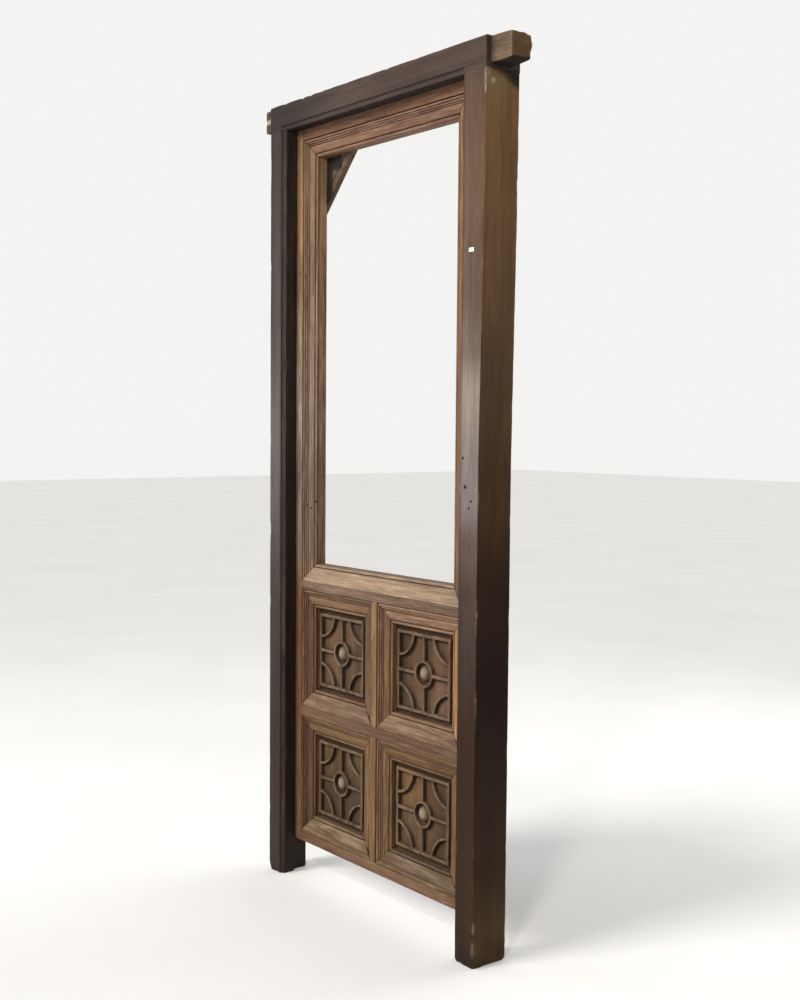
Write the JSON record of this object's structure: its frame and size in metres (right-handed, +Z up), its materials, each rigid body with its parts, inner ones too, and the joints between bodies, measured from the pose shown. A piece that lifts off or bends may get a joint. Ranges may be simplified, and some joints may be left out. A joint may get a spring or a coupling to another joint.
{
  "type": "carved panelled door in its frame",
  "caption": "Weathered timber door leaf with an open upper light over carved lower panels, hung in a heavy jamb and head frame with wall horns.",
  "frame": {"origin": "on the floor line, in the plane of the frame's front face, 0.5384 m to the right of the left jamb's outer face", "axes": "+Z up, +Y from the front face to the back, +X to the viewer's right as seen from the front"},
  "size_m": [1.207, 0.1349, 2.6],
  "materials": {
    "frame_timber": "old dark stained timber, worn at the arrises",
    "leaf_timber": "aged brown timber, dry, dirt in the grain",
    "moulding_timber": "aged brown timber, worn on the raised lines",
    "carved_timber": "grey-brown carved timber with pale worn edges and dark recesses",
    "peg_timber": "dry oak end grain",
    "iron": "dark rusted iron",
    "label_paper": "blank white paper label"
  },
  "bodies": {
    "frame": {"blank_label": "label_paper", "bottom_hinge_frame_half": "iron", "bottom_hinge_pin": "iron", "frame_hinge_screws": "iron", "frame_pegs": "peg_timber", "head_beam": "frame_timber", "left_jamb": "frame_timber", "middle_hinge_frame_half": "iron", "middle_hinge_pin": "iron", "right_jamb": "frame_timber", "top_hinge_frame_half": "iron", "top_hinge_pin": "iron"},
    "leaf": {"bottom_hinge_leaf_half": "iron", "bottom_rail": "leaf_timber", "brace_nails": "iron", "corner_brace": "leaf_timber", "hinge_stile": "leaf_timber", "leaf_hinge_screws": "iron", "leaf_pegs": "peg_timber", "light_moulding_bottom": "moulding_timber", "light_moulding_left": "moulding_timber", "light_moulding_right": "moulding_timber", "light_moulding_top": "moulding_timber", "lock_rail": "leaf_timber", "lock_stile": "leaf_timber", "lower_left_moulding_bottom": "moulding_timber", "lower_left_moulding_left": "moulding_timber", "lower_left_moulding_right": "moulding_timber", "lower_left_moulding_top": "moulding_timber", "lower_left_panel": "carved_timber", "lower_muntin": "leaf_timber", "lower_right_moulding_bottom": "moulding_timber", "lower_right_moulding_left": "moulding_timber", "lower_right_moulding_right": "moulding_timber", "lower_right_moulding_top": "moulding_timber", "lower_right_panel": "carved_timber", "middle_hinge_leaf_half": "iron", "middle_rail": "leaf_timber", "top_hinge_leaf_half": "iron", "top_rail": "leaf_timber", "upper_left_moulding_bottom": "moulding_timber", "upper_left_moulding_left": "moulding_timber", "upper_left_moulding_right": "moulding_timber", "upper_left_moulding_top": "moulding_timber", "upper_left_panel": "carved_timber", "upper_muntin": "leaf_timber", "upper_right_moulding_bottom": "moulding_timber", "upper_right_moulding_left": "moulding_timber", "upper_right_moulding_right": "moulding_timber", "upper_right_moulding_top": "moulding_timber", "upper_right_panel": "carved_timber"}
  },
  "joints": [
    {"name": "leaf_hinge", "type": "hinge", "parent": "frame", "child": "leaf", "pos_m": [-0.4763, 0.1205, 1.33], "axis": [0, 0, 1], "range_deg": [0, 100]}
  ]
}
